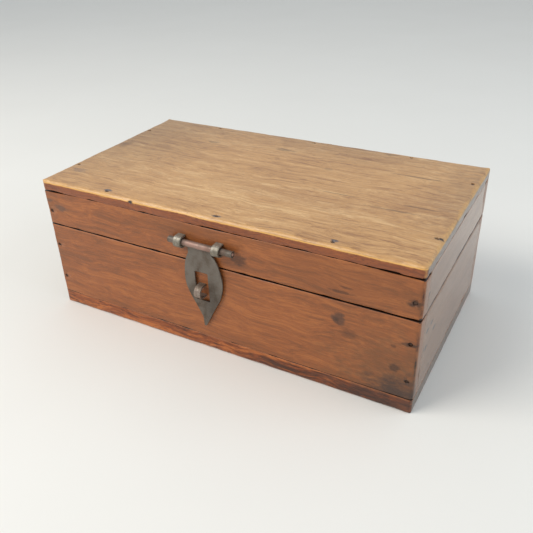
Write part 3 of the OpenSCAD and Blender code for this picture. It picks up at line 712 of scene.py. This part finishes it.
ironLooks = {
    "leafIron": {"bare": linear(114, 106, 97), "rust": linear(90, 76, 63), "bright": linear(150, 142, 132),
                 "amount": 0.42, "rub": 0.12, "metallic": 0.45, "dull": 0.08,
                 "washes": [mark((0.004, -0.093, 0.045), (0.014, 0.02, 0.035), 0.6,
                                 colour=linear(68, 57, 47)),
                            mark((-0.005, -0.0938, 0.0988), (0.030, 0.010, 0.0036), 0.9,
                                 colour=linear(172, 134, 120))]},
    "barIron": {"bare": linear(176, 140, 124), "rust": linear(128, 92, 76), "bright": linear(220, 204, 192),
                "amount": 0.25, "rub": 0.35, "metallic": 0.3},
    "strapIron": {"bare": linear(150, 144, 132), "rust": linear(108, 98, 82), "bright": linear(214, 208, 194),
                  "amount": 0.4, "rub": 0.35, "metallic": 0.6},
    "stapleIron": {"bare": linear(152, 134, 122), "rust": linear(104, 88, 74),
                   "bright": linear(216, 206, 190), "amount": 0.42, "rub": 0.3, "metallic": 0.5},
    "hingeIron": {"bare": linear(104, 96, 88), "rust": linear(86, 62, 46), "bright": linear(146, 136, 126),
                  "amount": 0.5},
    "screwIron": {"bare": linear(116, 108, 98), "rust": linear(84, 62, 46), "bright": linear(160, 150, 138),
                  "amount": 0.4},
    "nailIron": {"bare": linear(84, 60, 46), "rust": linear(62, 40, 28), "bright": linear(110, 88, 72),
                 "amount": 0.6, "metallic": 0.3},
}
irons = {name: ironMaterial(name, look) for name, look in ironLooks.items()}
print("iron made")


easeRule = {"angle": 38, "shortest": 0.0003, "segments": 2, "profile": 0.6, "smooth": 40}
hammerShift = (1.7, 4.1, 2.9)


def forged(node, body, name, material, look):  # a hand forged piece: eased edges and hammer marks
    shape = cleanCopy(node)
    if look["ease"]:
        sharp = [edge for edge in shape.edges if len(edge.link_faces) == 2
                 and edge.calc_face_angle(0) > math.radians(easeRule["angle"])
                 and edge.calc_length() > easeRule["shortest"]]
        bmesh.ops.bevel(shape, geom=sharp, offset=look["ease"], segments=easeRule["segments"],
                        profile=easeRule["profile"], affect="EDGES", clamp_overlap=True)
    for axis in look["axes"]:
        sliceGrid(shape, axis, gridPlaces(shape, axis, look["step"]))
    for vert in shape.verts:
        point = vert.co.copy()
        flat = Vector((point.x, look.get("sheet", point.y), point.z))
        vert.co = point + noise.noise_vector(flat * look["pitch"] + Vector(hammerShift)) * look["hammer"]
    finishPiece(shape, name, body, node, irons[material], easeRule["smooth"])


# "sheet" is one depth for both faces of a sheet, so that it bends without changing its thickness
leafShape = {"ease": 0.00018, "axes": (0, 2), "step": 0.0022, "pitch": 95, "hammer": 0.00028, "sheet": -0.093}
rodShape = {"ease": 0.0, "axes": (0,), "step": 0.003, "pitch": 120, "hammer": 0.00003}
strapShape = {"ease": 0.0003, "axes": (0, 2), "step": 0.0014, "pitch": 170, "hammer": 0.00022}
forgedLooks = {
    "hasp_leaf": ("hasp", "haspLeaf", "leafIron", leafShape),
    "hasp_rod": ("hasp", "haspRod", "barIron", rodShape),
    "hasp_eye_left": ("lid", "haspEyeLeft", "strapIron", strapShape),
    "hasp_eye_right": ("lid", "haspEyeRight", "strapIron", strapShape),
    "staple_eye": ("box", "stapleEye", "stapleIron", strapShape),
}
for node, (body, name, material, look) in forgedLooks.items():
    forged(node, body, name, material, look)
print("hasp forged")


nailRound = {"segments": 14, "rings": 8, "shankSides": 10, "point": 0.3, "least": (0.84, 0.84, 0.9),
             "most": (1.08, 1.08, 1.0)}


def makeNailTree():  # nails with a domed head and a tapered shank, one on every place
    tree = bpy.data.node_groups.new("drivenNails", "GeometryNodeTree")
    tree.interface.new_socket("Places", in_out="INPUT", socket_type="NodeSocketGeometry")
    sockets = {}
    for label, kind in (("Head Radius", "NodeSocketFloat"), ("Head Height", "NodeSocketFloat"),
                        ("Shank Radius", "NodeSocketFloat"), ("Length", "NodeSocketFloat"),
                        ("Seed", "NodeSocketInt"), ("Material", "NodeSocketMaterial")):
        sockets[label] = tree.interface.new_socket(label, in_out="INPUT", socket_type=kind).identifier
    tree.interface.new_socket("Nails", in_out="OUTPUT", socket_type="NodeSocketGeometry")
    start, end = place(tree, "NodeGroupInput", -1200), place(tree, "NodeGroupOutput", 1200)

    def across(x, y, z):
        node = place(tree, "ShaderNodeCombineXYZ")
        for socket, value in zip(node.inputs, (x, y, z)):
            feed(tree, socket, value)
        return node.outputs[0]

    head = place(tree, "GeometryNodeMeshUVSphere")
    head.inputs["Segments"].default_value = nailRound["segments"]
    head.inputs["Rings"].default_value = nailRound["rings"]
    feed(tree, head.inputs["Radius"], start.outputs["Head Radius"])
    ratio = math2(tree, "DIVIDE", start.outputs["Head Height"], start.outputs["Head Radius"])
    domed = place(tree, "GeometryNodeTransform")
    feed(tree, domed.inputs["Geometry"], head.outputs["Mesh"])
    feed(tree, domed.inputs["Scale"], across(1, 1, ratio))
    drop = math2(tree, "MULTIPLY", start.outputs["Head Height"], -1)
    feed(tree, domed.inputs["Translation"], across(0, 0, drop))
    shank = place(tree, "GeometryNodeMeshCone")
    shank.inputs["Vertices"].default_value = nailRound["shankSides"]
    point = math2(tree, "MULTIPLY", start.outputs["Shank Radius"], nailRound["point"])
    feed(tree, shank.inputs["Radius Bottom"], point)
    feed(tree, shank.inputs["Radius Top"], start.outputs["Shank Radius"])
    feed(tree, shank.inputs["Depth"], start.outputs["Length"])
    sunk = place(tree, "GeometryNodeTransform")
    feed(tree, sunk.inputs["Geometry"], shank.outputs["Mesh"])
    reach = math2(tree, "ADD", start.outputs["Length"], start.outputs["Head Height"])
    feed(tree, sunk.inputs["Translation"], across(0, 0, math2(tree, "MULTIPLY", reach, -1)))
    joined = place(tree, "GeometryNodeJoinGeometry")
    tree.links.new(domed.outputs[0], joined.inputs[0])
    tree.links.new(sunk.outputs[0], joined.inputs[0])
    aim = place(tree, "GeometryNodeInputNamedAttribute", data_type="FLOAT_VECTOR")
    aim.inputs["Name"].default_value = "aim"
    align = place(tree, "FunctionNodeAlignEulerToVector", axis="Z")
    feed(tree, align.inputs["Vector"], aim.outputs["Attribute"])
    size = place(tree, "FunctionNodeRandomValue", data_type="FLOAT_VECTOR")
    feed(tree, size.inputs[0], nailRound["least"])
    feed(tree, size.inputs[1], nailRound["most"])
    feed(tree, size.inputs["Seed"], start.outputs["Seed"])
    dots = place(tree, "GeometryNodeMeshToPoints")
    feed(tree, dots.inputs["Mesh"], start.outputs["Places"])
    spread = place(tree, "GeometryNodeInstanceOnPoints")
    feed(tree, spread.inputs["Points"], dots.outputs[0])
    feed(tree, spread.inputs["Instance"], joined.outputs[0])
    feed(tree, spread.inputs["Rotation"], align.outputs[0])
    feed(tree, spread.inputs["Scale"], size.outputs[0])
    real = place(tree, "GeometryNodeRealizeInstances")
    feed(tree, real.inputs[0], spread.outputs[0])
    painted = place(tree, "GeometryNodeSetMaterial")
    feed(tree, painted.inputs["Geometry"], real.outputs[0])
    feed(tree, painted.inputs["Material"], start.outputs["Material"])
    feed(tree, end.inputs[0], painted.outputs[0])
    return tree, sockets


nailTree, nailSockets = makeNailTree()
nailShape = {"Head Radius": 0.0015, "Head Height": 0.0005, "Shank Radius": 0.0009, "Length": 0.024}
nailLooks = {
    "body_corner_nails": ("box", "bodyCornerNails", 3),
    "lid_corner_nails": ("lid", "lidCornerNails", 7),
    "lid_top_nails": ("lid", "lidTopNails", 11),
    "base_nails": ("box", "baseNails", 17),
}


def driveNails(node, body, name, seedNumber):
    spots = nails[node]
    seedMesh = bpy.data.meshes.new(name + "Places")
    seedMesh.from_pydata([tuple(at) for at, aim in spots], [], [])
    aims = seedMesh.attributes.new("aim", "FLOAT_VECTOR", "POINT")
    for i, (at, aim) in enumerate(spots):
        aims.data[i].vector = aim
    seed = bpy.data.objects.new(name + "Places", seedMesh)
    bpy.context.scene.collection.objects.link(seed)
    driven = seed.modifiers.new("nails", "NODES")
    driven.node_group = nailTree
    for label, value in {**nailShape, "Seed": seedNumber}.items():
        driven[nailSockets[label]] = value
    driven[nailSockets["Material"]] = irons["nailIron"]
    graph = bpy.context.evaluated_depsgraph_get()
    mesh = bpy.data.meshes.new_from_object(seed.evaluated_get(graph))
    bpy.data.objects.remove(seed)
    mesh.name = name
    for face in mesh.polygons:
        face.use_smooth = True
    piece = bpy.data.objects.new(name, mesh)
    bpy.context.scene.collection.objects.link(piece)
    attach(piece, body)
    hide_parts(node)


for node, (body, name, seedNumber) in nailLooks.items():
    driveNails(node, body, name, seedNumber)
print("nails driven")

# The hinges keep their CAD meshes and take only their materials.
for name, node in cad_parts.items():
    if "hinge" in name:
        for slot in node.material_slots:
            slot.material = irons["screwIron"] if "screw" in name else irons["hingeIron"]


def stageRoom():
    look = {"floorReach": 7.0, "floorLight": linear(236, 233, 226), "floorDark": linear(222, 218, 210),
            "floorRough": 0.8, "sky": (0.88, 0.94, 1.0, 1), "skyStrength": 0.62,
            "seen": linear(240, 240, 236), "keyPower": 17.0, "fillPower": 7.0}
    mesh = bpy.data.meshes.new("deskTop")
    reach = look["floorReach"]
    mesh.from_pydata([(-reach, -reach, 0), (reach, -reach, 0), (reach, reach, 0), (-reach, reach, 0)], [],
                     [(0, 1, 2, 3)])
    floor = bpy.data.objects.new("deskTop", mesh)
    bpy.context.scene.collection.objects.link(floor)
    material = bpy.data.materials.new("paleDesk")
    material.use_nodes = True
    tree = material.node_tree
    shader = tree.nodes["Principled BSDF"]
    position = place(tree, "ShaderNodeTexCoord").outputs["Object"]
    tone = math2(tree, "MULTIPLY", cloud(tree, position, 6, 4, 0.5), 0.3)
    feed(tree, shader.inputs["Base Color"], blendColour(tree, tone, look["floorLight"], look["floorDark"]))
    shader.inputs["Roughness"].default_value = look["floorRough"]
    mesh.materials.append(material)

    world = bpy.data.worlds.new("softDaylight")
    bpy.context.scene.world = world
    world.use_nodes = True
    tree = world.node_tree
    tree.nodes.clear()
    ray = place(tree, "ShaderNodeLightPath")
    sky, seen = place(tree, "ShaderNodeBackground"), place(tree, "ShaderNodeBackground")
    sky.inputs["Color"].default_value = look["sky"]
    sky.inputs["Strength"].default_value = look["skyStrength"]
    seen.inputs["Color"].default_value = look["seen"]
    mix, out = place(tree, "ShaderNodeMixShader"), place(tree, "ShaderNodeOutputWorld")
    tree.links.new(ray.outputs["Is Camera Ray"], mix.inputs[0])
    tree.links.new(sky.outputs[0], mix.inputs[1])
    tree.links.new(seen.outputs[0], mix.inputs[2])
    tree.links.new(mix.outputs[0], out.inputs[0])

    def lamp(name, at, aim, size, power, colour):
        data = bpy.data.lights.new(name, "AREA")
        data.size, data.energy, data.color = size, power, colour
        obj = bpy.data.objects.new(name, data)
        obj.location = at
        obj.rotation_euler = (Vector(aim) - Vector(at)).to_track_quat("-Z", "Y").to_euler()
        bpy.context.scene.collection.objects.link(obj)

    lamp("windowKey", (-0.75, -0.85, 1.25), (0, 0, 0.05), 0.9, look["keyPower"], (1.0, 0.97, 0.92))
    lamp("sideFill", (1.3, 0.25, 0.75), (0, 0, 0.06), 1.1, look["fillPower"], (0.80, 0.90, 1.0))


stageRoom()

# Camera fitted to the box's own corners in the photograph
cameraFit = {"position": (0.24147, -0.42262, 0.32191), "turn": (2.0635, 0.5124, -0.3308), "focal": 623.87,
             "picture": 533, "sensor": 36}
turn = Vector(cameraFit["turn"])
toRight, toDown, ahead = Matrix.Rotation(turn.length, 3, turn.normalized())
cameraData = bpy.data.cameras.new("photoCamera")
cameraData.sensor_width = cameraFit["sensor"]
cameraData.lens = cameraFit["sensor"] * cameraFit["focal"] / cameraFit["picture"]
camera = bpy.data.objects.new("photoCamera", cameraData)
facing = Matrix((toRight, -toDown, -ahead)).transposed().to_4x4()
camera.matrix_world = Matrix.Translation(cameraFit["position"]) @ facing
bpy.context.scene.collection.objects.link(camera)
bpy.context.scene.camera = camera
bpy.context.scene.view_settings.view_transform = "Standard"
print("room and camera ready")
